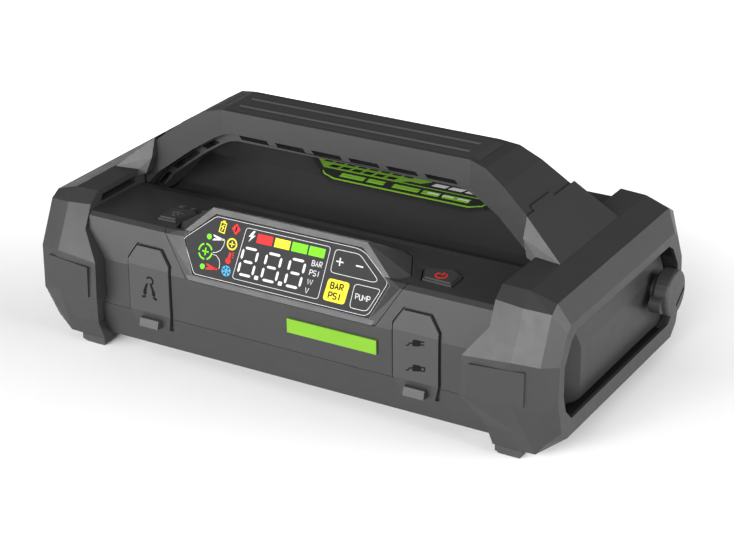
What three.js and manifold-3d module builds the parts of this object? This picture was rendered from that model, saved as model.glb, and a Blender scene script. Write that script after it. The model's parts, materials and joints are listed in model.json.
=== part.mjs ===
// Jump starter pack with a built-in tyre inflator: a faceted casing, an armour ring round each end,
// a carrying handle, a raised display, two hinged port flaps and a capped hose port.
// Millimetres, +X along the pack, front face towards -Y, +Z up, origin under the middle at floor level.
import * as THREE from 'three';
import { ConvexGeometry } from 'three/addons/geometries/ConvexGeometry.js';
import { mergeVertices } from 'three/addons/utils/BufferGeometryUtils.js';
import Module from 'manifold-3d';

const wasm = await Module();
wasm.setup();

// ---- Driving dimensions ---------------------------------------------------------------------
const GAP = 0.3;              // clearance between parts that touch
const WALL = 2.4;             // moulded wall
const BODY_HALF_LENGTH = 120; // casing, without the end rings
const BODY_HALF_DEPTH = 71;   // casing, at its widest facet
const BODY_LOW = 7;           // underside of the casing
const SPLIT_Z = 29;           // parting line between the two shells
const SHOULDER_Z = 51.5;      // crease between the upright facet and the leaning one
const DECK_Z = 72.5;          // flat top of the casing
const VALLEY_HALF = 30;       // half width of the hand valley in the deck
const VALLEY_DEPTH = 12;
const RING_END = 136;         // outer face of an end ring
const GRIP_TOP = 112.5;       // top of the handle
const HANDLE_HALF = 14.5;     // half width of the handle
const FLAP_X = 70.6;          // middle of a port flap
const FLAP_HINGE = { y: -70.6, z: 62.4 }; // hinge line along the top edge of a flap
const LEAN = 18.8;            // lean of the display, degrees from upright
const DISPLAY_MID = { y: -65.4, z: 68.1 };
const PORT = { y: 46, z: 40 };        // hose port axis on the right end
const CRANK = { x: 62, y: 24, z: 35 }; // crank shaft of the air pump
const PINION_TEETH = 12;
const GEAR_TEETH = 42;
const GEAR_MODULE = 1;

// ---- Materials ------------------------------------------------------------------------------
const finish = (color, roughness, metalness = 0) =>
  new THREE.MeshStandardMaterial({ color, roughness, metalness });
const casingPlastic = finish(0x4c4d4f, 0.55);
const armourPlastic = finish(0x5c5d60, 0.5);
const handlePlastic = finish(0x66676a, 0.5);
const gripRubber = finish(0x3f4042, 0.8);
const blackPlastic = finish(0x18191b, 0.45);
const lensPlastic = finish(0x0b0c0e, 0.12);
const clearLens = finish(0xdfe6ea, 0.1);
const greenPlate = finish(0x7ac728, 0.4);
const boardGreen = finish(0x1d5a34, 0.5);
const steel = finish(0xa8abb0, 0.35, 1);
const brass = finish(0xc19a4b, 0.3, 1);
const aluminium = finish(0xb9bcc0, 0.4, 1);
const cellWrap = finish(0x2f62a8, 0.4);
const pumpPlastic = finish(0x8d9196, 0.5);

// ---- Solid helpers --------------------------------------------------------------------------
// A closed three.js geometry as a solid that can be joined and cut.
function solid(geometry) {
  const bare = geometry.clone();
  for (const name of Object.keys(bare.attributes)) {
    if (name !== 'position') bare.deleteAttribute(name);
  }
  const merged = mergeVertices(bare, 1e-4);
  return new wasm.Manifold(new wasm.Mesh({
    numProp: 3,
    vertProperties: merged.attributes.position.array,
    triVerts: new Uint32Array(merged.index.array),
  }));
}

function shapeOf(points) {
  return new THREE.Shape(points.map(([x, y]) => new THREE.Vector2(x, y)));
}

// An outline extruded along one axis between two places. Its two coordinates are the other axes in order.
function prism(points, axis, from, to) {
  const shape = points instanceof THREE.Shape ? points : shapeOf(points);
  const geometry = new THREE.ExtrudeGeometry(shape, {
    depth: to - from, bevelEnabled: false, curveSegments: 8,
  });
  geometry.translate(0, 0, from);
  const x = new THREE.Vector3(1, 0, 0);
  const y = new THREE.Vector3(0, 1, 0);
  const z = new THREE.Vector3(0, 0, 1);
  const basis = new THREE.Matrix4();
  if (axis === 'x') geometry.applyMatrix4(basis.makeBasis(y, z, x));
  if (axis === 'y') {
    geometry.translate(0, 0, -from - to);
    geometry.applyMatrix4(basis.makeBasis(x, z, y.negate()));
  }
  return solid(geometry);
}

function box(low, high) {
  const size = high.map((value, i) => value - low[i]);
  const geometry = new THREE.BoxGeometry(...size);
  geometry.translate(...low.map((value, i) => value + size[i] / 2));
  return solid(geometry);
}

// A round bar along an axis, from one place on it to another; centre holds the other two coordinates.
function bar(radius, axis, from, to, centre, sides = 24) {
  const geometry = new THREE.CylinderGeometry(radius, radius, to - from, sides);
  const mid = (from + to) / 2;
  if (axis === 'x') geometry.rotateZ(-Math.PI / 2).translate(mid, centre[0], centre[1]);
  if (axis === 'y') geometry.translate(centre[0], mid, centre[1]);
  if (axis === 'z') geometry.rotateX(Math.PI / 2).translate(centre[0], centre[1], mid);
  return solid(geometry);
}

function hull(points) {
  return solid(new ConvexGeometry(points.map((p) => new THREE.Vector3(...p))));
}

const alsoBehind = (points) => points.concat(points.map(([x, y, z]) => [x, -y, z]));
const onSide = (side, points) => points.map(([x, y, z]) => [side * x, y, z]);
const join = (...solids) => solids.reduce((sum, next) => sum.add(next));
const cut = (from, ...tools) => tools.reduce((rest, tool) => rest.subtract(tool), from);

// Moves every edge of an outline inwards by a distance (outwards when it is negative).
function inset(points, distance) {
  const area = THREE.ShapeUtils.area(points.map(([x, y]) => new THREE.Vector2(x, y)));
  const turn = Math.sign(area);
  const count = points.length;
  return points.map((point, i) => {
    const before = points[(i + count - 1) % count];
    const after = points[(i + 1) % count];
    const normals = [[before, point], [point, after]].map(([a, b]) => {
      const length = Math.hypot(b[0] - a[0], b[1] - a[1]);
      return [-turn * (b[1] - a[1]) / length, turn * (b[0] - a[0]) / length];
    });
    const [m, n] = normals;
    const scale = distance / (1 + m[0] * n[0] + m[1] * n[1]);
    return [point[0] + (m[0] + n[0]) * scale, point[1] + (m[1] + n[1]) * scale];
  });
}

// ---- Group ----------------------------------------------------------------------------------
const CAP_END = 142; // the hose cap is the pack's furthest point, and only on the right
const group = new THREE.Group();
group.position.x = (RING_END - CAP_END) / 2;

function place(name, body, material) {
  const mesh = body.getMesh();
  const geometry = new THREE.BufferGeometry();
  geometry.setAttribute('position', new THREE.BufferAttribute(Float32Array.from(mesh.vertProperties), 3));
  geometry.setIndex(Array.from(mesh.triVerts));
  geometry.computeVertexNormals();
  const part = new THREE.Mesh(geometry, material);
  part.name = name;
  group.add(part);
}

// ---- Casing ---------------------------------------------------------------------------------
// Front half of the casing's cross-section, from the underside to the deck's edge, as [depth, height].
const CASING_FLANK = [
  [60, BODY_LOW],
  [BODY_HALF_DEPTH, SPLIT_Z],
  [BODY_HALF_DEPTH, SHOULDER_Z],
  [68.2, 70.8],
  [66.2, DECK_Z],
];

function casingSection(shrink = 0) {
  const valley = [];
  const steps = 10;
  for (let i = 0; i <= steps; i += 1) {
    const y = -VALLEY_HALF + (2 * VALLEY_HALF * i) / steps;
    const dip = (1 + Math.cos((Math.PI * y) / VALLEY_HALF)) / 2;
    valley.push([y, DECK_Z - VALLEY_DEPTH * dip]);
  }
  const front = CASING_FLANK.map(([y, z]) => [-y, z]);
  const back = CASING_FLANK.slice().reverse();
  return inset([...front, ...valley, ...back], shrink);
}

const casingPrism = (shrink, halfLength) => prism(casingSection(shrink), 'x', -halfLength, halfLength);
const casingWithGap = (halfLength) => casingPrism(-GAP, halfLength);

// The ends of the casing step in to carry the end rings.
const SEAT_X = 105.7;
const SEAT_STEP = 1.2;
const casingSolid = (grow, halfLength) => join(
  casingPrism(-grow, SEAT_X + grow), casingPrism(SEAT_STEP - grow, halfLength));

const hollowCasing = () => cut(
  casingSolid(0, BODY_HALF_LENGTH), casingPrism(WALL, BODY_HALF_LENGTH - WALL));

const FAR = 400;
const belowPlane = (z) => box([-FAR, -FAR, -FAR], [FAR, FAR, z]);
const abovePlane = (z) => box([-FAR, -FAR, z], [FAR, FAR, FAR]);

// ---- Buttons --------------------------------------------------------------------------------
const LIGHT_OUTLINE = [[-72.5, -59.8], [-72.9, -48.3], [-62.5, -44.8], [-58, -47.8], [-62.9, -59.3]];
const POWER_OUTLINE = [[66.9, -59], [62.4, -49], [75.3, -45.2], [80.9, -49.1], [81.2, -59.5]];
const BUTTON_LIFT = 1.5;
const SCREW_PLACES = [[-90, -54.5], [90, -54.5], [-90, 54.5], [90, 54.5]];

function button(outline) {
  const flangeTop = DECK_Z - WALL - GAP;
  const cap = prism(outline, 'z', flangeTop - 0.5, DECK_Z + BUTTON_LIFT - 0.8);
  const crown = prism(inset(outline, 0.9), 'z', DECK_Z, DECK_Z + BUTTON_LIFT);
  const flange = cut(prism(inset(outline, -1.2), 'z', flangeTop - 1.4, flangeTop), displayOpening());
  return join(cap, crown, flange);
}

function buttonSwitch(outline) {
  const mid = [0, 1].map((i) => outline.reduce((sum, point) => sum + point[i], 0) / outline.length);
  const low = DECK_Z - WALL - 7.5;
  return join(
    box([mid[0] - 5, mid[1] - 4, low], [mid[0] + 5, mid[1] + 4, low + 3]),
    bar(1.6, 'z', low + 2, DECK_Z - WALL - 3, mid, 16),
  );
}

// ---- Ports in the front ---------------------------------------------------------------------
const PORT_HALF_WIDTH = 8;
const PORT_LOW = 31.5;
const PORT_HIGH = 50.5;
const FACE_Y = -BODY_HALF_DEPTH;

const portHole = (x) => box(
  [x - PORT_HALF_WIDTH, FACE_Y - 3, PORT_LOW], [x + PORT_HALF_WIDTH, FACE_Y + WALL + 1, PORT_HIGH]);

// A flap lies in a shallow recess of the casing's face. Its section is [y, z], its outline is [x, z].
const FLAP_SECTION = [
  [-72.1, 30], [-71.9, 53], [FLAP_HINGE.y, FLAP_HINGE.z], [-68.75, FLAP_HINGE.z], [-70.3, SHOULDER_Z],
  [-70.3, SPLIT_Z], [-66.9, 22.2], [-69.3, 21.2],
];
const FLAP_OUTLINE = [
  [-11.2, 30], [-8, 20.8], [8, 20.8], [11.2, 30], [11.2, 55.4], [6.5, FLAP_HINGE.z], [-6.5, FLAP_HINGE.z],
  [-11.2, 55.4],
];
const flapOutline = (x, grow) => inset(FLAP_OUTLINE, -grow).map(([u, z]) => [x + u, z]);

function flapRecess(x) {
  const section = [
    [-90, 10], [-90, 70], [-67.2, 70], [-69.8, SHOULDER_Z], [-69.8, SPLIT_Z], [-60.3, 10]];
  return prism(section, 'x', x - 20, x + 20).intersect(prism(flapOutline(x, 1), 'y', -90, -60));
}

function flap(x) {
  const lid = prism(FLAP_SECTION, 'x', x - 20, x + 20).intersect(prism(flapOutline(x, 0), 'y', -90, -60));
  const plug = box([x - 6.4, -71.8, PORT_LOW + 1.5], [x + 6.4, -69.2, PORT_HIGH - 1.5]);
  const tab = hull([
    [x - 5.2, -73.2, 27], [x + 5.2, -73.2, 27], [x - 5.2, -74.4, 23.2], [x + 5.2, -74.4, 23.2],
    [x - 5.2, -70.6, 27.2], [x + 5.2, -70.6, 27.2], [x - 5.2, -68.6, 22.6], [x + 5.2, -68.6, 22.6],
  ]);
  return join(lid, plug, tab);
}

function clampSocket(x) {
  const block = box([x - 7.6, FACE_Y + WALL, 32], [x + 7.6, FACE_Y + 20, 50]);
  const cup = box([x - 6, FACE_Y - 1, 33.6], [x + 6, FACE_Y + 13, 48.4]);
  return cut(block, cup);
}

function clampContact(x, z) {
  const y = FACE_Y;
  return cut(
    bar(2.9, 'y', y + 8, y + 12.6, [x, z], 16),
    bar(2.2, 'y', y + 7, y + 11.4, [x, z], 16),
  );
}

function portShell(x, z, halfWidth, halfHeight, depth) {
  const y = FACE_Y + WALL;
  const wall = 0.5;
  return join(
    cut(
      box([x - halfWidth, y, z - halfHeight], [x + halfWidth, y + depth, z + halfHeight]),
      box([x - halfWidth + wall, y - 1, z - halfHeight + wall],
        [x + halfWidth - wall, y + depth - 1, z + halfHeight - wall]),
    ),
    box([x - halfWidth * 0.6, y + 1.5, z - 0.4], [x + halfWidth * 0.6, y + depth - 0.5, z + 0.4]),
  );
}

// ---- Display --------------------------------------------------------------------------------
// Points on the leaning display plane: u along the pack, v up the slope, w out of it.
function onDisplay(u, v, w) {
  const lean = THREE.MathUtils.degToRad(LEAN);
  return [
    u,
    DISPLAY_MID.y + v * Math.sin(lean) - w * Math.cos(lean),
    DISPLAY_MID.z + v * Math.cos(lean) + w * Math.sin(lean),
  ];
}

const DISPLAY_HALF = 14.6;       // half height of the lens along the slope
const LENS_HALF_TOP = 38.2;
const LENS_HALF_MIDDLE = 53.8;
const LENS_HALF_BOTTOM = 46.3;

function hexagon(grow, w) {
  return [1, -1].flatMap((side) => [
    onDisplay(side * (LENS_HALF_TOP + grow * 0.7), DISPLAY_HALF + grow, w),
    onDisplay(side * (LENS_HALF_MIDDLE + grow * 1.1), 1.5, w),
    onDisplay(side * (LENS_HALF_BOTTOM + grow * 0.8), -DISPLAY_HALF - grow, w),
  ]);
}

// The bezel is let into the casing's flank, and the hood behind it drops through the deck.
const BEZEL = 3;
const COVER_DEPTH = 4;
const HOOD_FOOTPRINT = [[60.4, -57.5], [51, -40], [45.3, -36.2]];

const hoodAt = (grow, z) => [1, -1].flatMap((side) => HOOD_FOOTPRINT.map(
  ([x, y]) => [side * (x + grow), y + grow, z]));

// Cheeks beside the lens continue the flank up to the deck, and fall away to the lens.
const CHEEK_OUTLINE = [[-64.2, 74], [-50, 51.8], [50, 51.8], [64.2, 74]];
const cheeks = (grow) => prism(inset(CHEEK_OUTLINE, -grow), 'y', -90, -64 + grow);

function displayCover() {
  const hood = hull([
    ...hexagon(BEZEL, 0.35), ...hexagon(BEZEL, -COVER_DEPTH),
    ...hoodAt(0, DECK_Z), ...hoodAt(0, DECK_Z - 3)]);
  const hollow = hull([
    ...hexagon(-2, -3.4), ...hexagon(-2, -14), ...hoodAt(-2.4, DECK_Z - 1), ...hoodAt(-2.4, 60)]);
  const pocket = hull([...hexagon(GAP, -1.6), ...hexagon(GAP, 4)]);
  const flare = hull([...hexagon(0.6, 0.35), ...hexagon(13, 7)]);
  const window = hull([...hexagon(-3, -6), ...hexagon(-3, 4)]);
  return cut(join(hood, cheeks(0).intersect(casingPrism(0, 70))), hollow, pocket, flare, window);
}

const displayLens = () => hull([...hexagon(0, -1.3), ...hexagon(0, 0.2)]);

function displayBoard() {
  const corners = [1, -1].flatMap((side) => [[side * 33, 10], [side * 38, -11]]);
  return hull([-5.6, -4].flatMap((w) => corners.map(([u, v]) => onDisplay(u, v, w))));
}

// What the casing leaves free for the cover.
const displayOpening = () => join(cheeks(GAP), hull([
  ...hexagon(BEZEL + GAP, 8), ...hexagon(BEZEL + GAP, -COVER_DEPTH - GAP),
  ...hoodAt(GAP, DECK_Z + 3), ...hoodAt(GAP, DECK_Z - 3 - GAP),
]));

// ---- End rings and panels -------------------------------------------------------------------
// A ring's sections going outwards, each as [depth, height] from top to bottom. The innermost edge is not
// flat: it bulges towards the middle of the pack at its widest part, so it also gives [x, depth, height].
const RING_BROW = 64.8;
const RING_FOOT = 16;
const RING_INNER = [
  [106, 60, 80], [106, 66.3, 75.3], [106, 71.6, RING_BROW], [96.3, 78.2, 52], [96.3, 79, 33.3],
  [104, 69.4, RING_FOOT], [104.7, 64.5, 5],
];
const RING_CREASE = [119, [[59.5, 79.5], [66.5, 74.2], [71.1, RING_BROW], [76.8, 53.3], [76.9, 32.8],
  [69.2, RING_FOOT], [64.2, 5]]];
const RING_OUTER = [
  RING_CREASE,
  [131, [[58.6, 75.7], [63.7, 72.7], [73.4, 52.2], [73.9, 31], [65, 12.5], [60, 9]]],
  [RING_END, [[55, 65.6], [58.5, 63], [65, 50], [66, 33], [61.5, 17], [56, 12]]],
];
const CREASE_LOW = 125; // the underside is level as far out as this, then turns up

const SLEEVE = 121;   // the casing fills a ring as far out as this
const LIP = 134.4;    // and from here the ring narrows to the opening in its end face
const OPENING_HALF = [[52, 20], [58, 26], [60.5, 34], [60.5, 48], [54, 58], [49, 61.2]];
const OPENING = [...OPENING_HALF.map(([y, z]) => [-y, z]), ...OPENING_HALF.slice().reverse()];
const CHAMBER = inset(OPENING, -3.5);

const sidePrism = (outline, side, from, to) => (
  side > 0 ? prism(outline, 'x', from, to) : prism(outline, 'x', -to, -from));

function ringBody(side) {
  const both = (points) => hull(onSide(side, alsoBehind(points)));
  const at = ([x, ring]) => ring.map(([y, z]) => [x, y, z]);
  const crease = at(RING_CREASE);
  const slab = (high, low) => {
    const within = ([, , z]) => z <= high && z >= low;
    return both([...RING_INNER.filter(within), ...crease.filter(within)]);
  };
  const [first, second, third] = RING_OUTER.map(at);
  const sill = [[CREASE_LOW, 64, 5], [CREASE_LOW, 70, 20]];
  return join(
    slab(80, RING_BROW), slab(RING_BROW, RING_FOOT), slab(RING_FOOT, 5),
    both([...first, ...sill, ...second]), both([...second, ...third]));
}

// Path of a handle leg's outer and inner faces, as [x, z].
const LEG_OUTER = [[66, GRIP_TOP], [75, 110.7], [85, 104.8], [98.5, 94.4], [110, 84.8]];
const LEG_INNER = [[114, 58], [109, 66], [100, 76.7], [81.8, 90.5], [70, 98], [65, 100.3], [60, 101.4]];
const LEG_HALF = 22; // half width of a leg where it enters its socket

// What the arch of the handle leaves free below it.
const UNDER_ARCH = [
  [-114, 20], ...LEG_INNER.map(([x, z]) => [-x, z]), ...LEG_INNER.slice().reverse(), [114, 20]];

const legOutline = (side, grow) => inset(
  [[60, GRIP_TOP], ...LEG_OUTER, ...LEG_INNER].map(([x, z]) => [side * x, z]), -grow);

const PAD = [[100.3, 49.4], [125, 49.6], [124.8, 33.4], [100.9, 33.8]];

function bumper(side) {
  const boss = hull(onSide(side, alsoBehind([
    [98.9, 23.6, 95.5], [98.8, 26.8, 86.6], [101.5, 28.4, 78.5], [118.5, 30, 79.5], [118.5, 30, 76],
    [110, 30, 76],
  ])));
  const pad = (sign) => hull(onSide(side, PAD.flatMap(([x, z]) => {
    const face = 79.6 - (x - 100) * 0.13;
    return [[x, sign * face, z], [x, sign * (face - 7), z]];
  })));
  const pocket = (sign) => hull(onSide(side, [
    [104, 31, 74], [118, 31, 74], [104, 31, 77.4], [118, 31, 76.6],
    [104, 58.5, 74], [118, 58.5, 74], [104, 57, 77.4], [118, 57, 76.6],
  ].map(([x, y, z]) => [x, sign * y, z])));
  const hollow = sidePrism([[-24, 55], [24, 55], [24, 76.4], [-24, 76.4]], side, 80, 118);
  const tongue = hull(onSide(side, [-15, 4].flatMap((y) => [
    [96.8, y, 95], [96.8, y, 97.1], [102, y, 90], [100, y, 94.6],
  ])));
  return cut(
    join(ringBody(side), boss, tongue, pad(-1), pad(1)),
    casingSolid(GAP, SLEEVE),
    sidePrism(CHAMBER, side, SLEEVE - 0.1, LIP), sidePrism(OPENING, side, 118, 150),
    pocket(-1), pocket(1), hollow,
    prism(legOutline(side, GAP), 'y', -LEG_HALF - GAP, LEG_HALF + GAP),
    prism(inset(UNDER_ARCH, -GAP), 'y', -14, 14));
}

// An end panel's raised middle, as [depth, height]: closer to the back, where the hose port needs it.
const BLOCK_FRONT = 33;
const BLOCK_BACK = 57;
const PANEL_FACE = 130.8;

function endPanel(side) {
  const start = SLEEVE + GAP;
  const plate = sidePrism(inset(CHAMBER, GAP), side, start, 125.5);
  const block = hull(onSide(side, [
    ...[start, 125.5].flatMap((x) => [
      [x, -BLOCK_FRONT - 5, 17.2], [x, BLOCK_BACK + 2, 17.2], [x, BLOCK_BACK + 3, 50],
      [x, BLOCK_BACK - 1, 63], [x, -BLOCK_FRONT - 5, 63],
    ]),
    [128.6, -BLOCK_FRONT - 1.5, 17.4], [128.6, BLOCK_BACK + 0.6, 17.4],
    [PANEL_FACE, -BLOCK_FRONT, 19.6], [PANEL_FACE, BLOCK_BACK, 19.6], [PANEL_FACE, BLOCK_BACK, 40],
    [PANEL_FACE, BLOCK_BACK - 1, 46], [PANEL_FACE, -BLOCK_FRONT, 44.5],
  ]));
  return join(plate, block.intersect(sidePrism(inset(CHAMBER, GAP), side, start, LIP)));
}

function foot(sideX, sideY) {
  const rim = [[105.5, 55], [118.5, 55], [118.5, 64], [105.5, 64]];
  const low = [[107, 56.5], [117, 56.5], [117, 62.5], [107, 62.5]];
  return hull([
    ...low.map(([x, y]) => [sideX * x, sideY * y, 0]),
    ...rim.map(([x, y]) => [sideX * x, sideY * y, 2]),
    ...rim.map(([x, y]) => [sideX * x, sideY * y, 5 - GAP]),
  ]);
}

// ---- Handle ---------------------------------------------------------------------------------
// The handle seen from above: the grip is slim and the legs widen towards their sockets.
const HANDLE_PLAN = [[66, HANDLE_HALF], [99, LEG_HALF], [118, LEG_HALF]];

function handlePlan() {
  const rear = [...HANDLE_PLAN.map(([x, y]) => [-x, y]).reverse(), ...HANDLE_PLAN];
  return prism([...rear, ...rear.map(([x, y]) => [x, -y]).reverse()], 'z', 0, 200);
}

const SEAT_Z = 109.4; // floor of the recess that holds the grip

function handleFrame() {
  const outer = [...LEG_OUTER.map(([x, z]) => [-x, z]).reverse(), ...LEG_OUTER];
  const arch = prism([...outer, ...UNDER_ARCH.slice(1, -1).reverse()], 'y', -LEG_HALF, LEG_HALF);
  const trough = prism(inset(UNDER_ARCH, -4), 'y', -8, 8);
  const seat = box([-70, -11.8, SEAT_Z], [70, 11.8, GRIP_TOP + 5]);
  return cut(arch.intersect(handlePlan()), trough, seat, casingWithGap(200));
}

const onEnd = (points) => points.map(([x, z]) => [-x, z]).reverse();

function handleGrip() {
  const low = SEAT_Z + GAP;
  const end = [[69.7, low], [69.7, 111.7], [66, GRIP_TOP]];
  const pad = prism([...end, ...onEnd(end)], 'y', -11.4, 11.4);
  const rib = (y) => hull([-62, 62].flatMap((x) => [
    [x, y - 1.6, GRIP_TOP - 0.5], [x, y + 1.6, GRIP_TOP - 0.5],
    [x * 0.98, y - 0.8, GRIP_TOP + 0.6], [x * 0.98, y + 0.8, GRIP_TOP + 0.6],
  ]));
  return join(pad, rib(-5.2), rib(5.2));
}

// The liner follows the inside of the arch. Hollows let into its sides leave slanted ribs between them.
const LINER_THICK = 4.4;
const LINER_HALF = 11.5;
const GRIP_HOLLOWS = 6;
const GRIP_HOLLOW_PITCH = 20;

// The hollows, front and back, along a straight run of the arch's underside going from left to right.
function linerHollows([ax, az], [bx, bz], from, to) {
  const length = Math.hypot(bx - ax, bz - az);
  const cx = (bx - ax) / length;
  const cz = (bz - az) / length;
  const at = (s, d) => [ax + cx * s + cz * d, az + cz * s - cx * d];
  const outline = [at(from, 0.9), at(to - 2, 0.9), at(to, 3.3), at(from + 2, 3.3)];
  return [prism(outline, 'y', -13, -4), prism(outline, 'y', 4, 13)];
}

function handleLiner() {
  const band = cut(
    prism(inset(UNDER_ARCH, GAP), 'y', -LINER_HALF, LINER_HALF),
    prism(inset(UNDER_ARCH, LINER_THICK), 'y', -LINER_HALF - 1, LINER_HALF + 1));
  const hollows = [];
  for (let i = 0; i < GRIP_HOLLOWS; i += 1) {
    const from = 1 + i * GRIP_HOLLOW_PITCH;
    hollows.push(...linerHollows([-60, 101.4], [60, 101.4], from, from + GRIP_HOLLOW_PITCH - 2.5));
  }
  for (let i = 4; i > 1; i -= 1) {
    const [high, low] = [LEG_INNER[i], LEG_INNER[i - 1]];
    const end = Math.hypot(high[0] - low[0], high[1] - low[1]) - 1.5;
    hollows.push(...linerHollows(high, low, 1.5, end));
    hollows.push(...linerHollows([-low[0], low[1]], [-high[0], high[1]], 1.5, end));
  }
  return cut(band, ...hollows, casingWithGap(200));
}

// ---- Air pump -------------------------------------------------------------------------------
function gearOutline(teeth, start, undercut) {
  const pitch = (teeth * GEAR_MODULE) / 2;
  const points = [];
  const step = (2 * Math.PI) / teeth;
  for (let i = 0; i < teeth; i += 1) {
    const angle = start + i * step;
    const root = pitch - undercut;
    const corners = [[-0.3, root], [-0.13, pitch + 0.65], [0.13, pitch + 0.65], [0.3, root]];
    for (const [turn, radius] of corners) {
      points.push([radius * Math.cos(angle + turn * step), radius * Math.sin(angle + turn * step)]);
    }
  }
  return points;
}

const GEAR_RADIUS = (GEAR_TEETH * GEAR_MODULE) / 2;
const PINION_RADIUS = (PINION_TEETH * GEAR_MODULE) / 2;
const MOTOR_X = CRANK.x - GEAR_RADIUS - PINION_RADIUS;
const GEAR_FROM = 6;
const GEAR_TO = 11;
const THROW = 4;

function crankGear() {
  const teeth = gearOutline(GEAR_TEETH, 0, 1).map(([x, z]) => [CRANK.x + x, CRANK.z + z]);
  const wheel = prism(teeth, 'y', GEAR_FROM, GEAR_TO);
  const shaft = bar(3, 'y', -4, GEAR_FROM + 1, [CRANK.x, CRANK.z], 32);
  const pin = bar(2, 'y', GEAR_TO - 1, GEAR_TO + 7, [CRANK.x, CRANK.z + THROW], 12);
  return join(wheel, shaft, pin);
}

function motorPinion() {
  const halfTooth = Math.PI / PINION_TEETH;
  const teeth = gearOutline(PINION_TEETH, halfTooth, 1).map(([x, z]) => [MOTOR_X + x, CRANK.z + z]);
  return join(
    prism(teeth, 'y', GEAR_FROM - 0.5, GEAR_TO + 0.5),
    bar(1.6, 'y', -3, GEAR_FROM, [MOTOR_X, CRANK.z], 12),
  );
}

function pumpFrame() {
  const plate = box([MOTOR_X - 18, -3, 12], [CRANK.x + 24, 2, 56]);
  const shelf = box([CRANK.x - 24, -3, 9.8], [CRANK.x + 46, 36, 12.6]);
  return cut(
    join(plate, shelf),
    bar(3.08, 'y', -10, 10, [CRANK.x, CRANK.z], 32),
    bar(2.2, 'y', -10, 10, [MOTOR_X, CRANK.z], 16),
  );
}

function connectingRod() {
  const from = GEAR_TO + 1;
  const to = GEAR_TO + 5;
  const ring = bar(9.2, 'y', from, to, [CRANK.x, CRANK.z]);
  const beam = box([CRANK.x, from, CRANK.z - 2.2], [CRANK.x + 25.7, to, CRANK.z + 2.2]);
  return cut(join(ring, beam), bar(6.6, 'y', from - 1, to + 1, [CRANK.x, CRANK.z]));
}

const PUMP_Y = GEAR_TO + 3;
const piston = () => bar(8.7, 'x', CRANK.x + 26, CRANK.x + 34, [PUMP_Y, CRANK.z]);

const pumpCylinder = () => cut(
  join(
    bar(11.5, 'x', CRANK.x + 22.5, CRANK.x + 44, [PUMP_Y, CRANK.z]),
    box([CRANK.x + 30, PUMP_Y - 9, 13], [CRANK.x + 38, PUMP_Y + 9, 30]),
  ),
  bar(9, 'x', CRANK.x + 20, CRANK.x + 45, [PUMP_Y, CRANK.z]),
);

const pumpHead = () => join(
  bar(11.5, 'x', CRANK.x + 44 + GAP, CRANK.x + 50, [PUMP_Y, CRANK.z]),
  box([CRANK.x + 45, PUMP_Y, CRANK.z - 4], [CRANK.x + 49, PUMP_Y + 17, CRANK.z + 4]),
);

function airTube() {
  const x = CRANK.x + 47;
  const path = new THREE.CatmullRomCurve3([
    [x, PUMP_Y + 17 + GAP, CRANK.z], [x, PUMP_Y + 22, CRANK.z], [x + 1, PORT.y - 2, PORT.z - 1.5],
    [x + 3, PORT.y, PORT.z], [x + 5.5, PORT.y, PORT.z],
  ].map((p) => new THREE.Vector3(...p)));
  const section = new THREE.Shape().absarc(0, 0, 2.2, 0, 2 * Math.PI);
  return solid(new THREE.ExtrudeGeometry(section, { steps: 14, curveSegments: 5, extrudePath: path }));
}

// A body of revolution along +X whose profile is [radius, x].
function turned(profile, sides = 28) {
  const geometry = new THREE.LatheGeometry(profile.map(([r, x]) => new THREE.Vector2(r, x)), sides);
  geometry.rotateZ(-Math.PI / 2).translate(0, PORT.y, PORT.z);
  return solid(geometry);
}

const hosePort = () => turned([[2, 115], [4.6, 115], [4.6, 134], [3.8, 135], [2, 135], [2, 115]]);

// The cap has a wide face on a slimmer neck, and a pull tab beside the neck.
function hoseCap() {
  const bore = 4.9;
  const back = 133.8;
  const cap = turned([
    [0, 135.6], [bore, 135.6], [bore, 131.3], [6.4, 131.3], [6.4, back], [9.8, back], [11, back + 1.3],
    [11, CAP_END - 1.3], [10.6, CAP_END - 0.4], [9.6, CAP_END], [0, CAP_END],
  ]);
  const tab = bar(4.2, 'x', 133.8, 139.4, [PORT.y - 9.6, PORT.z - 2.6], 20);
  const slot = prism(
    [[8.1, 0.5], [-0.6, -5.7], [0.4, -7.1], [9.1, -0.9]].map(([y, z]) => [PORT.y + y, PORT.z + z]),
    'x', CAP_END - 0.7, CAP_END + 1);
  return join(cut(cap, slot), cut(tab, bar(5, 'x', 130, CAP_END, [PORT.y, PORT.z])));
}

// ---- Assembly -------------------------------------------------------------------------------
const buttonHoles = [LIGHT_OUTLINE, POWER_OUTLINE].map(
  (outline) => prism(inset(outline, -0.8), 'z', DECK_Z - 6, DECK_Z + 6));
const portPassage = bar(6.4, 'x', 110, 125, [PORT.y, PORT.z]);
const lampHole = bar(13.5, 'x', -135, -110, [0, 40]);
const flapSeats = [-FLAP_X, FLAP_X].flatMap((x) => [portHole(x), flapRecess(x)]);

place('upper_shell', cut(hollowCasing(), belowPlane(SPLIT_Z), displayOpening(), ...buttonHoles, ...flapSeats,
  portPassage, lampHole), casingPlastic);
place('lower_shell', cut(hollowCasing(), abovePlane(SPLIT_Z - GAP), ...flapSeats, portPassage, lampHole,
  ...SCREW_PLACES.map((p) => bar(2.1, 'z', 0, 14, p, 12))), casingPlastic);
for (const [end, side] of [['left', -1], ['right', 1]]) {
  place(`bumper_${end}`, bumper(side), armourPlastic);
  place(`foot_front_${end}`, foot(side, -1), gripRubber);
  place(`foot_rear_${end}`, foot(side, 1), gripRubber);
}
place('end_panel_right', cut(endPanel(1), bar(4.9, 'x', 110, 140, [PORT.y, PORT.z])), casingPlastic);
place('end_panel_left', cut(endPanel(-1), lampHole), casingPlastic);
place('handle_frame', handleFrame(), handlePlastic);
place('handle_grip', handleGrip(), gripRubber);
place('handle_liner', handleLiner(), casingPlastic);
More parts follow.
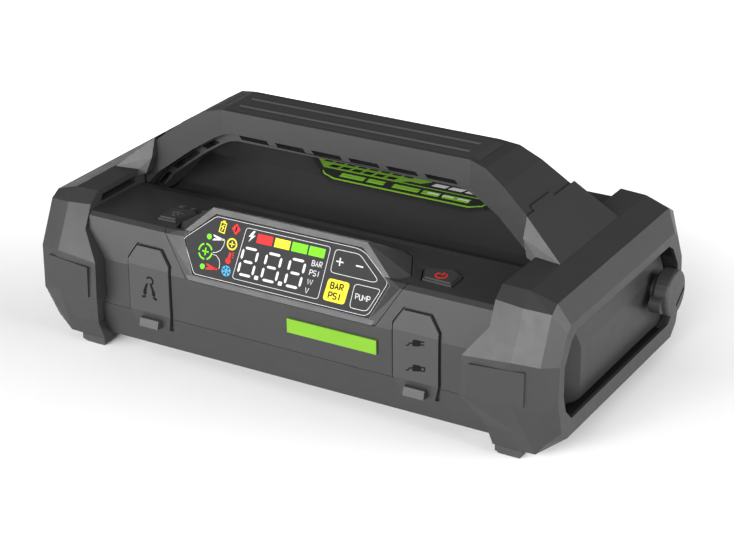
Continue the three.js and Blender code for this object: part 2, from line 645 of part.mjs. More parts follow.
place('display_cover', displayCover(), casingPlastic);
place('display_lens', displayLens(), lensPlastic);
place('display_board', displayBoard(), boardGreen);
place('clamp_flap', flap(-FLAP_X), gripRubber);
place('charge_flap', flap(FLAP_X), gripRubber);
place('clamp_socket', clampSocket(-FLAP_X), blackPlastic);
place('clamp_contact_positive', clampContact(-FLAP_X, 44.6), brass);
place('clamp_contact_negative', clampContact(-FLAP_X, 37.4), brass);
place('usb_a_port', portShell(FLAP_X, 36, 7, 3.4, 14), steel);
place('usb_c_port', portShell(FLAP_X, 45.8, 4.8, 2.1, 9), steel);
place('light_button', button(LIGHT_OUTLINE), gripRubber);
place('power_button', button(POWER_OUTLINE), gripRubber);
place('light_switch', buttonSwitch(LIGHT_OUTLINE), blackPlastic);
place('power_switch', buttonSwitch(POWER_OUTLINE), blackPlastic);

const LABEL_OUTLINE = [
  [-29, 21.5], [47, 21.5], [53.5, 24], [60, 46], [60, 62], [-60, 62], [-60, 52], [-35, 24]];
place('label_plate', cut(casingPrism(-1.1, 90), casingWithGap(100))
  .intersect(prism(LABEL_OUTLINE, 'z', 60, 90)), blackPlastic);
place('badge_plate', box([5, FACE_Y - 1.1, 38.2], [51, FACE_Y - GAP, 45]), greenPlate);

place('hose_port', hosePort(), brass);
place('hose_cap', hoseCap(), gripRubber);

place('lamp_reflector', cut(bar(13, 'x', -130, -114, [0, 40]), bar(11, 'x', -131, -117, [0, 40])), aluminium);
place('lamp_lens', bar(10.6, 'x', -129.5, -127.5, [0, 40]), clearLens);
place('lamp_board', bar(9, 'x', -118, -117.3, [0, 40]), boardGreen);

const CELL = { half: 48, y: 46, thick: 9, first: 13 };
for (let i = 0; i < 4; i += 1) {
  const low = CELL.first + i * (CELL.thick + GAP);
  const cell = box([-60 - CELL.half, -CELL.y, low], [-60 + CELL.half, CELL.y, low + CELL.thick]);
  place(`battery_cell_${i + 1}`, cell, cellWrap);
}
place('battery_tray', cut(
  box([-111, -49, 9.8], [-9, 49, 30]), box([-109, -47, 12.6], [-11, 47, 31])), blackPlastic);
place('bus_bar', box([-105, 46.4, 31], [-20, 48.4, 47]), brass);
place('main_board', box([-104, -46, 51], [-14, 46, 52.6]), boardGreen);

place('pump_frame', pumpFrame(), pumpPlastic);
place('pump_motor', bar(15, 'y', -50, -3 - GAP, [MOTOR_X, CRANK.z], 28), steel);
place('motor_pinion', motorPinion(), steel);
place('crank_gear', crankGear(), pumpPlastic);
place('connecting_rod', connectingRod(), aluminium);
place('piston', piston(), aluminium);
place('pump_cylinder', pumpCylinder(), aluminium);
place('pump_head', pumpHead(), aluminium);
place('air_tube', airTube(), gripRubber);
SCREW_PLACES.forEach((p, i) => {
  place(`case_screw_${i + 1}`, join(bar(1.8, 'z', 6, 16, p, 12), bar(3.4, 'z', 5.7, 6.7, p, 16)), steel);
});

export default group;
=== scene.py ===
"""Looks for a jump starter pack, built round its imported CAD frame. Metres, +Z up."""
import json
import math

import bmesh
import bpy
from mathutils import Matrix, Vector


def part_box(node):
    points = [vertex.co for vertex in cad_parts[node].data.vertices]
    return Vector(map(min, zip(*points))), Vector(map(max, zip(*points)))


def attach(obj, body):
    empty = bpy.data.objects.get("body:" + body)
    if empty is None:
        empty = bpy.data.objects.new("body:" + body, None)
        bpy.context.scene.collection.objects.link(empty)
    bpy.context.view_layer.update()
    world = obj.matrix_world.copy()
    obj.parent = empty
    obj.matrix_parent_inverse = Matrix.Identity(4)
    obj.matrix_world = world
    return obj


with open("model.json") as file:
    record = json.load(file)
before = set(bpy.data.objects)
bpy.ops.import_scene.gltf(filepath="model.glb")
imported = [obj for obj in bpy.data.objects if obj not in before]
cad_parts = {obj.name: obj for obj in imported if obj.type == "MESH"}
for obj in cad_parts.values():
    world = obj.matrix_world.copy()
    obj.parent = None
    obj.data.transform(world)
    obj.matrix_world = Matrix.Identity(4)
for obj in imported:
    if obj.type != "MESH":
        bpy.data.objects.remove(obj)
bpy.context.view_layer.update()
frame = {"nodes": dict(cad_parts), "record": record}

MM = 0.001
NODES = frame["nodes"]


def span(node):
    low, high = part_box(node)
    return Vector(low), Vector(high)


# The middle of the body along X lies halfway between the two armour rings.
RING_LEFT, RING_RIGHT = span("bumper_left"), span("bumper_right")
MID_X = (RING_LEFT[0].x + RING_RIGHT[1].x) / 2

# ---- Camera ---------------------------------------------------------------------------------
CAMERA_AZIMUTH = math.radians(30.91)
CAMERA_ELEVATION = math.radians(24.59)
CAMERA_ROLL = math.radians(-0.77)
CAMERA_LENS = 101.89
SENSOR_WIDTH = 36
CAMERA_PLACE = Vector((MID_X + 463.14 * MM, -767.11 * MM, 448.49 * MM))


def add_camera():
    ce, se = math.cos(CAMERA_ELEVATION), math.sin(CAMERA_ELEVATION)
    ca, sa = math.cos(CAMERA_AZIMUTH), math.sin(CAMERA_AZIMUTH)
    back = Vector((sa * ce, -ca * ce, se))
    right = Vector((ca, sa, 0))
    up = back.cross(right)
    cr, sr = math.cos(CAMERA_ROLL), math.sin(CAMERA_ROLL)
    x_axis = cr * right + sr * up
    y_axis = -sr * right + cr * up
    data = bpy.data.cameras.new("camera")
    data.lens = CAMERA_LENS
    data.sensor_width = SENSOR_WIDTH
    data.clip_start = 0.01
    camera = bpy.data.objects.new("camera", data)
    turn = Matrix((x_axis, y_axis, back)).transposed()
    camera.matrix_world = Matrix.Translation(CAMERA_PLACE) @ turn.to_4x4()
    bpy.context.collection.objects.link(camera)
    bpy.context.scene.camera = camera


# ---- Materials ------------------------------------------------------------------------------
MOTTLE_SCALE = 45
GLOSS_SCALE = 160
GLOSS_DRIFT = 0.03
GRAIN_DEPTH = 0.05 * MM
NOISE_LOW, NOISE_HIGH = 0.3, 0.7  # where most of a noise's values lie


def moulded(name, colour, roughness, grain=0.35, grain_size=2600, mottle=0.03, specular=0.5):
    """Moulded plastic or rubber: a fine spark-eroded grain with a slow drift of tone and gloss."""
    material = bpy.data.materials.new(name)
    material.use_nodes = True
    tree = material.node_tree
    shader = tree.nodes["Principled BSDF"]
    place = tree.nodes.new("ShaderNodeTexCoord").outputs["Object"]

    def noise(scale, detail):
        node = tree.nodes.new("ShaderNodeTexNoise")
        node.inputs["Scale"].default_value = scale
        node.inputs["Detail"].default_value = detail
        tree.links.new(place, node.inputs["Vector"])
        return node.outputs["Fac"]

    def spread(value, low, high):
        node = tree.nodes.new("ShaderNodeMapRange")
        node.inputs["From Min"].default_value = NOISE_LOW
        node.inputs["From Max"].default_value = NOISE_HIGH
        node.inputs["To Min"].default_value = low
        node.inputs["To Max"].default_value = high
        tree.links.new(value, node.inputs["Value"])
        return node.outputs["Result"]

    tone = tree.nodes.new("ShaderNodeMix")
    tone.data_type = "RGBA"
    tone.inputs["A"].default_value = [c * (1 - mottle) for c in colour] + [1]
    tone.inputs["B"].default_value = [c * (1 + mottle) for c in colour] + [1]
    tree.links.new(spread(noise(MOTTLE_SCALE, 3), 0, 1), tone.inputs["Factor"])
    tree.links.new(tone.outputs["Result"], shader.inputs["Base Color"])
    gloss = spread(noise(GLOSS_SCALE, 2), roughness - GLOSS_DRIFT, roughness + GLOSS_DRIFT)
    tree.links.new(gloss, shader.inputs["Roughness"])
    if grain:
        bump = tree.nodes.new("ShaderNodeBump")
        bump.inputs["Strength"].default_value = grain
        bump.inputs["Distance"].default_value = GRAIN_DEPTH
        tree.links.new(noise(grain_size, 2), bump.inputs["Height"])
        tree.links.new(bump.outputs["Normal"], shader.inputs["Normal"])
    shader.inputs["Specular IOR Level"].default_value = specular
    return material


def metal(name, colour):
    material = moulded(name, colour, 0.3, grain=0.15, grain_size=900)
    material.node_tree.nodes["Principled BSDF"].inputs["Metallic"].default_value = 1
    return material


def ink(name, colour):
    """A matt print."""
    return moulded(name, colour, 0.6, grain=0, specular=0.1)


CASING = moulded("casing_plastic", (0.018, 0.0181, 0.0182), 0.44, specular=0.32)
ARMOUR = moulded("armour_plastic", (0.018, 0.0182, 0.0187), 0.44, specular=0.32)
HANDLE = moulded("handle_plastic", (0.017, 0.0171, 0.0174), 0.46, specular=0.32)
RUBBER = moulded("rubber", (0.023, 0.0232, 0.0237), 0.5, grain=0.5, specular=0.34)
BLACK = moulded("black_plastic", (0.01, 0.01, 0.0105), 0.5, specular=0.12)
LENS = moulded("lens_plastic", (0.02, 0.02, 0.021), 0.6, grain=0, specular=0.06)
GREEN = moulded("green_print", (0.1, 0.23, 0.011), 0.5, grain=0.1, specular=0.2)
BOARD = moulded("circuit_board", (0.02, 0.12, 0.05), 0.5)
WRAP = moulded("cell_wrap", (0.03, 0.12, 0.36), 0.35)
PUMP = moulded("pump_plastic", (0.25, 0.26, 0.28), 0.5)
STEEL = metal("steel", (0.45, 0.46, 0.48))
BRASS = metal("brass", (0.6, 0.42, 0.16))
ALUMINIUM = metal("aluminium", (0.6, 0.61, 0.63))
PRINT_WHITE = ink("white_print", (0.4, 0.4, 0.4))
PRINT_RED = ink("red_print", (0.48, 0.016, 0.016))
PRINT_YELLOW = ink("yellow_print", (0.44, 0.38, 0.02))
PRINT_GREEN = ink("bright_green_print", (0.1, 0.38, 0.01))
PRINT_BLUE = ink("blue_print", (0.05, 0.25, 0.44))
PRINT_BLACK = moulded("black_print", (0.006, 0.006, 0.006), 0.7, grain=0, specular=0.04)
PRINT_GREY = ink("grey_print", (0.07, 0.07, 0.071))
CLEAR = moulded("clear_lens", (0.8, 0.82, 0.84), 0.08, grain=0)
CLEAR.node_tree.nodes["Principled BSDF"].inputs["Transmission Weight"].default_value = 0.8

# The looks of the CAD nodes, by the slot that each has in the record.
SLOT_MATERIALS = {
    "casing": CASING, "armour": ARMOUR, "handle": HANDLE, "rubber": RUBBER, "black_plastic": BLACK,
    "lens": LENS, "clear_lens": CLEAR, "green_print": GREEN, "circuit_board": BOARD, "steel": STEEL,
    "brass": BRASS, "aluminium": ALUMINIUM, "cell_wrap": WRAP, "pump_plastic": PUMP,
}

BEVEL_SEGMENTS = 3
SHARP = math.radians(22)  # edges that turn by more than this are rounded
FLAT = math.radians(1)    # facets that differ by less than this are merged


def soften(piece, width):
    """Merges flat facets, rounds the edges between them and evens out the shading."""
    for polygon in piece.data.polygons:
        polygon.use_smooth = True
    flat = piece.modifiers.new("flat", "DECIMATE")
    flat.decimate_type = "DISSOLVE"
    flat.angle_limit = FLAT
    bevel = piece.modifiers.new("bevel", "BEVEL")
    bevel.width = width
    bevel.segments = BEVEL_SEGMENTS
    bevel.limit_method = "ANGLE"
    bevel.angle_limit = SHARP
    bevel.use_clamp_overlap = True
    bevel.harden_normals = True
    piece.modifiers.new("weigh", "WEIGHTED_NORMAL").keep_sharp = True


# Width of the rounding along a node's edges, in millimetres.
EDGE_WIDTHS = {
    "bumper_left": 1.0, "bumper_right": 1.0, "upper_shell": 0.7, "lower_shell": 0.7, "handle_frame": 2.6,
    "display_cover": 0.6, "clamp_flap": 0.7, "charge_flap": 0.7, "end_panel_left": 0.9,
    "end_panel_right": 0.9, "hose_cap": 0.6, "display_lens": 0.25, "label_plate": 0.15, "badge_plate": 0.15,
    "light_button": 0.35, "power_button": 0.35,
}
OTHER_EDGES = 0.3


def finish_nodes():
    for row in frame["record"]["subparts"]:
        node = NODES[row["node"]]
        node.data.materials.clear()
        node.data.materials.append(SLOT_MATERIALS[row["material_slot"]])
        soften(node, EDGE_WIDTHS.get(row["node"], OTHER_EDGES) * MM)


# ---- Prints and icons -----------------------------------------------------------------------
# All layouts are in millimetres on the surface they lie on.
PRINT_SUNK = -0.05   # a print starts this far below its surface
PRINT_PROUD = 0.12   # and stands this far above it
OVERPRINT = 0.15     # lift of a print that lies on another print


def add_solid(bm, outline, place):
    """A thin closed plate with this outline."""
    low = [bm.verts.new(place(u, v, PRINT_SUNK)) for u, v in outline]
    high = [bm.verts.new(place(u, v, PRINT_PROUD)) for u, v in outline]
    bm.faces.new(high)
    bm.faces.new(low[::-1])
    for i in range(len(outline)):
        j = (i + 1) % len(outline)
        bm.faces.new((low[i], low[j], high[j], high[i]))


def add_stroke(bm, points, width, place, closed=False):
    """A thin closed strip of even width along a line."""
    count = len(points)
    left, right = [], []
    for i, (u, v) in enumerate(points):
        steps = []
        if closed or i > 0:
            steps.append((u - points[i - 1][0], v - points[i - 1][1]))
        if closed or i < count - 1:
            after = points[(i + 1) % count]
            steps.append((after[0] - u, after[1] - v))
        normals = [(-dv / math.hypot(du, dv), du / math.hypot(du, dv)) for du, dv in steps]
        nu, nv = (sum(n[k] for n in normals) / len(normals) for k in (0, 1))
        reach = width / 2 / max(nu * nu + nv * nv, 0.25)
        left.append((u + nu * reach, v + nv * reach))
        right.append((u - nu * reach, v - nv * reach))
    rows = [[bm.verts.new(place(*point, w)) for point in side] for side, w in
            ((left, PRINT_PROUD), (right, PRINT_PROUD), (right, PRINT_SUNK), (left, PRINT_SUNK))]
    for i in range(count if closed else count - 1):
        j = (i + 1) % count
        for k in range(4):
            a, b = rows[k], rows[(k + 1) % 4]
            bm.faces.new((a[i], b[i], b[j], a[j]))
    if not closed:
        bm.faces.new([row[0] for row in rows][::-1])
        bm.faces.new([row[-1] for row in rows])


def ring(centre, radius, start=0.0, turn=360.0, count=20):
    """Points along a circle, or along an arc of it when the turn is less than 360 degrees."""
    steps = count if turn >= 360 else count + 1
    return [(centre[0] + radius * math.cos(math.radians(start + turn * i / count)),
             centre[1] + radius * math.sin(math.radians(start + turn * i / count))) for i in range(steps)]


def ray(centre, inner, outer, angle):
    """A short line that points away from the centre."""
    return [ring(centre, radius, angle, 0, 1)[0] for radius in (inner, outer)]


CORNER_STEPS = 3


def rounded(corners, radius):
    """The outline with each corner cut round."""
    points = []
    for i, corner in enumerate(corners):
        before, after = corners[i - 1], corners[(i + 1) % len(corners)]
        here = Vector(corner)
        arms = []
        for other in (before, after):
            arm = Vector(other) - here
            arms.append(here + arm.normalized() * min(radius, arm.length * 0.45))
        for k in range(CORNER_STEPS + 1):
            t = k / CORNER_STEPS
            points.append(tuple(arms[0] * (1 - t) ** 2 + here * 2 * t * (1 - t) + arms[1] * t ** 2))
    return points


def moved(points, centre, scale=1.0, turn=0.0):
    """The points turned and scaled about the origin, then carried to the centre."""
    c, s = math.cos(math.radians(turn)), math.sin(math.radians(turn))
    return [(centre[0] + scale * (u * c - v * s), centre[1] + scale * (u * s + v * c)) for u, v in points]


# Strokes of the letters, each in a square of about one by one.
LETTERS = {
    "A": [[(0, 0), (0.5, 1), (1, 0)], [(0.2, 0.35), (0.8, 0.35)]],
    "B": [[(0, 0), (0, 1), (0.7, 1), (0.95, 0.85), (0.95, 0.65), (0.7, 0.52), (0, 0.52)],
          [(0.7, 0.52), (1, 0.36), (1, 0.15), (0.75, 0), (0, 0)]],
    "I": [[(0.5, 0), (0.5, 1)]],
    "M": [[(-0.15, 0), (-0.15, 1), (0.5, 0.35), (1.15, 1), (1.15, 0)]],
    "P": [[(0, 0), (0, 1), (0.75, 1), (1, 0.85), (1, 0.6), (0.75, 0.45), (0, 0.45)]],
    "R": [[(0, 0), (0, 1), (0.75, 1), (1, 0.85), (1, 0.6), (0.75, 0.45), (0, 0.45)], [(0.5, 0.45), (1, 0)]],
    "S": [[(1, 0.85), (0.75, 1), (0.25, 1), (0, 0.85), (0, 0.65), (0.25, 0.52), (0.75, 0.48), (1, 0.35),
           (1, 0.15), (0.75, 0), (0.25, 0), (0, 0.15)]],
    "U": [[(0, 1), (0, 0.2), (0.25, 0), (0.75, 0), (1, 0.2), (1, 1)]],
    "V": [[(0, 1), (0.5, 0), (1, 1)]],
    "W": [[(0, 1), (0.22, 0), (0.5, 0.9), (0.78, 0), (1, 1)]],
}


def add_word(bm, word, corner, height, width, place, slant=0.0, weight=0.3):
    """A unit or function word in single strokes, from its lower left corner."""
    pitch = width * 1.45
    for i, letter in enumerate(word):
        for line in LETTERS[letter]:
            points = [(corner[0] + i * pitch + x * width + y * height * slant, corner[1] + y * height)
                      for x, y in line]
            add_stroke(bm, points, weight, place)


def above(place):
    """The same surface for a print that lies on another print."""
    return lambda u, v, w: place(u, v, w + OVERPRINT)


def print_piece(name, draw, place, material, body):
    """One print: all that draw adds, laid on a surface and riding on a body."""
    bm = bmesh.new()
    draw(bm, place)
    bmesh.ops.recalc_face_normals(bm, faces=bm.faces)
    mesh = bpy.data.meshes.new(name)
    bm.to_mesh(mesh)
    bm.free()
    mesh.materials.append(material)
    piece = bpy.data.objects.new(name, mesh)
    bpy.context.collection.objects.link(piece)
    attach(piece, body)


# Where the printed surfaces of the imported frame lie, in its own millimetres.
LEAN = math.radians(18.8)           # lean of the display from upright
DISPLAY_MID_Y, DISPLAY_MID_Z = -65.4, 68.1
LENS_FACE = 0.2                     # the lens stands this far out of the display's plane
FLAP_FACE_Y, FLAP_FACE_Z = -72.1, 30  # a point on a flap's face
FLAP_SLOPE = 0.0087
DECK_Z = 72.5
VALLEY_HALF, VALLEY_DEPTH = 30, 12


def on_display(u, v, w):
    """The lens's face: u along the pack, v up the slope, w out of it."""
    w += LENS_FACE
    return Vector((
        MID_X + u * MM,
        (DISPLAY_MID_Y + v * math.sin(LEAN) - w * math.cos(LEAN)) * MM,
        (DISPLAY_MID_Z + v * math.cos(LEAN) + w * math.sin(LEAN)) * MM))


def on_flap(side):
    """A flap's face, seen from the front, with v as the height above the floor."""
    low, high = span("charge_flap" if side > 0 else "clamp_flap")
    x = (low.x + high.x) / 2

    def place(u, v, w):
        return Vector((x + u * MM, (FLAP_FACE_Y + (v - FLAP_FACE_Z) * FLAP_SLOPE - w) * MM, v * MM))

    return place


def on_top(name):
    """The top of a node, in the pack's own plan."""
    top = span(name)[1].z
    return lambda u, v, w: Vector((MID_X + u * MM, v * MM, top + w * MM))


def on_deck(u, v, w):
    """The flat top of the casing."""
    return Vector((MID_X + u * MM, v * MM, (DECK_Z + w) * MM))


def on_label(u, v, w):
    """The label follows the valley in the deck."""
    top = span("label_plate")[1].z
    dip = VALLEY_DEPTH / 2 * (1 + math.cos(math.pi * v / VALLEY_HALF)) if abs(v) < VALLEY_HALF else 0
    return Vector((MID_X + u * MM, v * MM, top + (w - dip) * MM))


# Outlines on the display.
LENS_BORDER = [(-54, 0.7), (-38.1, 13.9), (35.9, 14.1), (40.2, 12.9), (53.2, 2.4), (46.4, -12.9),
               (44, -14.2), (-45.9, -14.2), (-53.2, -1.1)]
SCREEN = [(-21.6, 12), (22.6, 12), (20, -12), (-25.4, -12)]
PLUS_KEY = [(25.2, 11.6), (37.4, 11.8), (48.3, 2.4), (46.3, 1.1), (24.1, 1.1)]
UNIT_KEY = [(23.9, -1.5), (34.9, -1.6), (33.4, -11.7), (22.3, -11.6)]
PUMP_KEY = [(37.2, -1.4), (50.4, -1.3), (45, -12.1), (36.2, -12.2)]
SLANT = 0.12          # lean of the digits and units, across per up
SEGMENT_WIDTH = 1.15
BOLT = [(0.5, 2.6), (-1.8, -0.4), (-0.3, -0.2), (-1.5, -2.8), (1.9, 0.7), (0.4, 0.5), (1.6, 2.6)]
CLAMP_ARM = [(-3.4, 1.5), (3.4, 0.2), (3.4, -0.35), (2.2, -0.5), (-1.4, 0.2), (-2.6, 0.4)]
CLAMP_SCALE = 0.95


def clamp_icon(bm, centre, turn, place):
    for flip in (1, -1):
        add_solid(bm, moved([(u, v * flip) for u, v in CLAMP_ARM], centre, CLAMP_SCALE, turn), place)


def digit(bm, left, right, low, high, place):
    """Seven slanted segments."""
    width, height = right - left, high - low
    half = SEGMENT_WIDTH / 2

    def at(x, y):
        return (left + x + (y - height / 2) * SLANT, low + y)

    def segment(p, q):
        (px, py), (qx, qy) = p, q
        length = math.hypot(qx - px, qy - py)
        cx, cy = (qx - px) / length, (qy - py) / length
        tip, shoulder = 0.75, 1.45
        ends = [(tip, 0), (shoulder, half), (length - shoulder, half), (length - tip, 0),
                (length - shoulder, -half), (shoulder, -half)]
        add_solid(bm, [at(px + s * cx - t * cy, py + s * cy + t * cx) for s, t in ends], place)

    x0, x1, y0, y1, y2 = half, width - half, half, height / 2, height - half
    for p, q in (((x0, y2), (x1, y2)), ((x0 + 0.6, y1), (x1 - 0.6, y1)), ((x0, y0), (x1, y0)),
                 ((x0, y0), (x0, y1)), ((x0, y1), (x0, y2)), ((x1, y0), (x1, y1)), ((x1, y1), (x1, y2))):
        segment(p, q)


def draw_white(bm, place):
    """Borders, digits, units, the signs on the keys, and the upper clamp with both leads."""
    add_stroke(bm, rounded(LENS_BORDER, 1.6), 0.2, place, closed=True)
    add_stroke(bm, rounded(SCREEN, 1.5), 0.22, place, closed=True)
    add_stroke(bm, rounded(PLUS_KEY, 1.8), 0.24, place, closed=True)
    add_stroke(bm, rounded(PUMP_KEY, 1.8), 0.24, place, closed=True)
    for left, right in ((-22.7, -13.9), (-10.2, -1.4), (2.2, 11)):
        digit(bm, left, right, -9.9, 3.6, place)
    for u in (-13, -0.4):
        point = [(u - 1, -10.1), (u + 1, -10.1), (u + 1.2, -8.3), (u - 0.8, -8.3)]
        add_solid(bm, rounded(point, 0.3), place)
    add_solid(bm, moved(BOLT, (-18.2, 8.6)), place)
    for word, v, width in (("BAR", 2, 1.3), ("PSI", -2.3, 1.3), ("W", -6.5, 2.6), ("V", -10.6, 1.7)):
        add_word(bm, word, (13.6 + (v + 4) * SLANT, v), 2.4, width, place, SLANT)
    add_stroke(bm, [(26.4, 6.5), (30, 6.5)], 0.6, place)
    add_stroke(bm, [(28.2, 4.7), (28.2, 8.3)], 0.6, place)
    add_stroke(bm, [(36.4, 6.5), (40, 6.5)], 0.6, place)
    add_word(bm, "PUMP", (38.5, -7.9), 2.4, 1.35, place)
    clamp_icon(bm, (-35.4, 4.2), 0, place)
    upper_lead = [(-32, 4), (-32.3, 1.4), (-33.6, -0.8), (-35.6, -2.2), (-37.5, -2.6)]
    lower_lead = [(-37.5, -3.4), (-35.4, -3.6), (-33.7, -5), (-32.9, -7), (-33, -9.3)]
    for lead in (upper_lead, lower_lead):
        add_stroke(bm, lead, 0.24, place)


def draw_red(bm, place):
    """The first charge block, the warning diamond, the lower clamp and the thermometer."""
    add_solid(bm, [(-15.1, 10.5), (-7, 10.5), (-7.4, 6.3), (-15.5, 6.3)], place)
    add_solid(bm, moved([(0, 2.6), (2.3, 0), (0, -2.6), (-2.3, 0)], (-26.9, 10.2)), place)
    clamp_icon(bm, (-37, -9.6), -2, place)
    add_solid(bm, ring((-28.8, -4.7), 1.35, count=16), place)
    add_stroke(bm, [(-28.8, -4.7), (-28.1, -0.9)], 1.0, place)
    for v in (-2.8, -1.8, -0.8):
        add_stroke(bm, [(-27.2, v), (-26.2, v + 0.1)], 0.35, place)


def draw_yellow(bm, place):
    """The second charge block, the unit key, a cross in a ring and the battery."""
    add_solid(bm, [(-5.8, 10.5), (2.2, 10.5), (1.8, 6.3), (-6.2, 6.3)], place)
    add_solid(bm, rounded(UNIT_KEY, 1.6), place)
    add_stroke(bm, ring((-28, 3.1), 2.4), 0.75, place, closed=True)
    add_stroke(bm, [(-29.3, 3.1), (-26.7, 3.1)], 0.55, place)
    add_stroke(bm, [(-28, 1.8), (-28, 4.4)], 0.55, place)
    case, pole, spark = [moved(points, (-34, 9.8), 1, -8) for points in (
        [(-1.4, -2.5), (1.4, -2.5), (1.4, 2), (-1.4, 2)],
        [(-0.7, 2.3), (0.7, 2.3), (0.7, 3), (-0.7, 3)],
        [(0.5, 1.2), (-0.6, -0.1), (0.5, -0.3), (-0.4, -1.8)])]
    add_stroke(bm, case, 0.5, place, closed=True)
    add_solid(bm, pole, place)
    add_stroke(bm, spark, 0.5, place)


def draw_green(bm, place):
    """Two charge blocks, the clamps' lamps and a cross in a ring of four arcs."""
    for left in (3, 12):
        block = [(left + 0.2, 10.5), (left + 8.3, 10.5), (left + 7.9, 6.3), (left - 0.2, 6.3)]
        add_solid(bm, block, place)
    for centre in ((-40.5, 4.2), (-42, -9.9)):
        add_solid(bm, ring(centre, 1.3, count=16), place)
    for start in (20, 110, 200, 290):
        add_stroke(bm, ring((-41.5, -2.9), 3.5, start, 70, 10), 0.8, place)
    add_stroke(bm, [(-43.3, -2.9), (-39.7, -2.9)], 0.7, place)
    add_stroke(bm, [(-41.5, -4.7), (-41.5, -1.1)], 0.7, place)


def draw_blue(bm, place):
    """A snow star."""
    centre = (-29.1, -9.4)
    for turn in (15, 75, 135):
        add_stroke(bm, moved([(-2.5, 0), (2.5, 0)], centre, 1, turn), 0.5, place)
        for end in (-1, 1):
            branch = [(end * 2.3, 0.9), (end * 1.3, 0), (end * 2.3, -0.9)]
            add_stroke(bm, moved(branch, centre, 1, turn), 0.4, place)


def draw_key_words(bm, place):
    """The units on their yellow key, and the stroke in the red diamond."""
    add_word(bm, "BAR", (25.4, -5.8), 2.7, 1.6, above(place), 0.08, 0.5)
    add_word(bm, "PSI", (25, -10.2), 2.7, 1.6, above(place), 0.08, 0.5)
    add_stroke(bm, [(-27.1, 9), (-26.7, 11.4)], 0.7, above(place))


CLAMP_BODY = [(0.5, 45.2), (1.7, 44.4), (3.4, 40.6), (3.2, 38.6), (1.6, 39.2), (1.5, 41.6)]
CLAMP_JAW = [(2, 38.6), (4.4, 38), (3.9, 36.9), (2.1, 37.6)]


def draw_clamp_mark(bm, place):
    """Two jump lead clamps hung from one lead."""
    for side in (-1, 1):
        for outline in (CLAMP_BODY, CLAMP_JAW):
            add_solid(bm, [(side * u, v) for u, v in outline], place)
    add_stroke(bm, ring((0.6, 46.4), 1.8, -70, 220, 12), 0.8, place)


def plug_body(bm, v, place):
    body = [(-1.6, v - 2), (2.4, v - 1.2), (2.8, v + 1.6), (-1.2, v + 1.4)]
    add_solid(bm, rounded(body, 0.8), place)
    add_stroke(bm, [(-1.5, v - 0.4), (-3, v - 0.9), (-3.6, v - 2), (-4.6, v - 2.2)], 0.55, place)


def draw_plug_mark(bm, place):
    """A mains plug above a USB plug."""
    plug_body(bm, 48.8, place)
    for dv in (0.9, -0.5):
        add_stroke(bm, [(2.5, 48.9 + dv), (4.4, 49.3 + dv)], 0.6, place)
    plug_body(bm, 36.8, place)
    add_stroke(bm, [(2.6, 35.9), (4.5, 36.2), (4.7, 37.9), (2.8, 37.8)], 0.55, place, closed=True)


def draw_power_mark(bm, place):
    centre = (73.4, -54)
    add_stroke(bm, ring(centre, 2.5, 125, 290, 18), 0.8, place)
    add_stroke(bm, [(centre[0], centre[1] + 0.6), (centre[0], centre[1] + 3.2)], 0.8, place)


def draw_deck_marks(bm, place):
    """Small signs for the lamp's three settings."""
    v = -42.6
    for u in (-71.2, -64.8, -58.4):
        add_stroke(bm, ring((u, v), 0.8, count=10), 0.35, place, closed=True)
        for angle in (45, 135, 225, 315):
            add_stroke(bm, ray((u, v), 1.2, 1.8, angle), 0.3, place)


def draw_lamp_mark(bm, place):
    centre = (-66.4, -53.4)
    add_stroke(bm, ring(centre, 1.5, -50, 280, 14), 0.5, place)
    add_stroke(bm, [(centre[0] - 0.8, centre[1] - 2), (centre[0] + 0.8, centre[1] - 2)], 0.5, place)
    for angle in (30, 90, 150):
        add_stroke(bm, ray(centre, 2.3, 3.1, angle), 0.45, place)


LABEL_BORDER = [(-28, 22.8), (46, 22.8), (52, 25), (58.4, 46), (58.4, 60.5), (-58.4, 60.5), (-58.4, 52),
                (-34.4, 24.8)]
LABEL_FIELD = [(-38, 30.2), (3, 30.2), (8, 34), (14, 34), (18, 38), (12, 46), (-52, 46), (-51, 44)]


def add_bar(bm, left, right, low, high, lean, place):
    """A plain bar in place of a word. Its ends lean to the right."""
    add_solid(bm, [(left, low), (right, low), (right + lean, high), (left + lean, high)], place)


def draw_label_border(bm, place):
    """The label's border, rule and coloured field, with bars below the field."""
    add_stroke(bm, rounded(LABEL_BORDER, 1), 0.7, place, closed=True)
    for left, right in ((-26, -13), (-11, -2), (3, 17), (19, 28), (30, 44)):
        for low in (25, 26.6):
            add_bar(bm, left, right, low, low + 1.1, 0.6, place)
    add_solid(bm, LABEL_FIELD, place)
    add_stroke(bm, [(4, 30.6), (54, 30.6)], 0.6, place)
    add_bar(bm, -54, 54, 50, 52, 0, place)


def draw_label_bars(bm, place):
    for left, right in ((22, 28), (30, 36), (38, 44)):
        add_bar(bm, left, right, 26, 27, 0, place)
    for left, right in ((20, 27), (29, 36), (38, 52)):
        add_bar(bm, left, right, 34, 37, 1, place)


def draw_label_dark(bm, place):
    """Rows of bars on the coloured field."""
    pitch, length, height = 6.4, 4.6, 2.6
    for low, start, count in ((31.6, -36, 6), (37, -42, 8), (41.8, -47, 9)):
        for i in range(count):
            left = start + i * pitch
            add_bar(bm, left, left + length, low, low + height, 0.8, above(place))


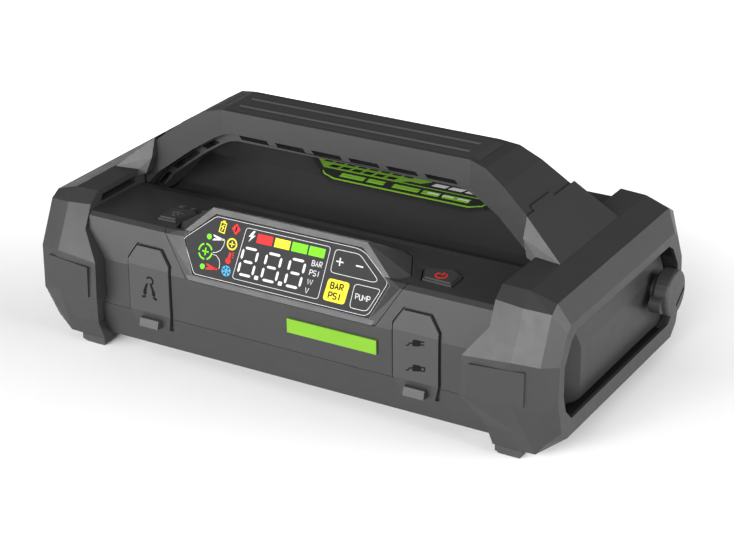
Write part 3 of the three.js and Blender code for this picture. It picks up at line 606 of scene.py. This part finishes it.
def add_prints():
    for name, draw, place, material, body, slot in (
            ("display_white", draw_white, on_display, PRINT_WHITE, "casing", "white_print"),
            ("display_red", draw_red, on_display, PRINT_RED, "casing", "red_print"),
            ("display_yellow", draw_yellow, on_display, PRINT_YELLOW, "casing", "yellow_print"),
            ("display_green", draw_green, on_display, PRINT_GREEN, "casing", "green_print"),
            ("display_blue", draw_blue, on_display, PRINT_BLUE, "casing", "blue_print"),
            ("display_key_words", draw_key_words, on_display, PRINT_BLACK, "casing", "black_plastic"),
            ("clamp_flap_mark", draw_clamp_mark, on_flap(-1), PRINT_BLACK, "clamp_flap", "black_plastic"),
            ("charge_flap_mark", draw_plug_mark, on_flap(1), PRINT_BLACK, "charge_flap", "black_plastic"),
            ("power_button_mark", draw_power_mark, on_top("power_button"), PRINT_RED,
             "power_button", "red_print"),
            ("light_button_mark", draw_lamp_mark, on_top("light_button"), PRINT_GREY,
             "light_button", "handle"),
            ("label_border", draw_label_border, on_label, GREEN, "casing", "green_print"),
            ("label_bars", draw_label_bars, on_label, PRINT_WHITE, "casing", "white_print"),
            ("label_dark", draw_label_dark, on_label, PRINT_BLACK, "casing", "black_plastic"),
            ("deck_marks", draw_deck_marks, on_deck, PRINT_GREY, "casing", "handle")):
        print_piece(name, draw, place, material, body)


# ---- Studio ---------------------------------------------------------------------------------
FLOOR_HALF = 6
WORLD_STRENGTH = 0.21


def add_floor():
    mesh = bpy.data.meshes.new("floor")
    corners = [(x * FLOOR_HALF, y * FLOOR_HALF, 0) for x, y in ((-1, -1), (1, -1), (1, 1), (-1, 1))]
    mesh.from_pydata(corners, [], [(0, 1, 2, 3)])
    floor = bpy.data.objects.new("floor", mesh)
    bpy.context.collection.objects.link(floor)
    mesh.materials.append(moulded("floor_paint", (0.8, 0.8, 0.8), 0.6, grain=0, mottle=0.005))


def add_light(name, place, size, power, target=(0, 0, 0.05)):
    """A rectangular soft light that faces its target. Metres and watts."""
    data = bpy.data.lights.new(name, "AREA")
    data.shape = "RECTANGLE"
    data.size, data.size_y = size
    data.energy = power
    light = bpy.data.objects.new(name, data)
    light.location = place
    light.rotation_euler = (Vector(target) - Vector(place)).to_track_quat("-Z", "Y").to_euler()
    bpy.context.collection.objects.link(light)


def add_studio():
    add_floor()
    add_light("key_front", (0.25, -1.8, 0.82), (1.7, 0.5), 66)
    add_light("low_front", (-1.0, -1.5, 0.3), (1.2, 0.4), 34)
    add_light("side_right", (1.6, 0.1, 0.45), (1.2, 0.5), 38)
    add_light("background", (-0.6, 1.0, 1.6), (3.6, 2.4), 260, (-1.35, 3.1, 0))
    world = bpy.data.worlds.new("studio")
    world.use_nodes = True
    world.node_tree.nodes["Background"].inputs["Color"].default_value = (1, 1, 1, 1)
    world.node_tree.nodes["Background"].inputs["Strength"].default_value = WORLD_STRENGTH
    bpy.context.scene.world = world
    bpy.context.scene.view_settings.view_transform = "Standard"


add_camera()
finish_nodes()
add_prints()
add_studio()
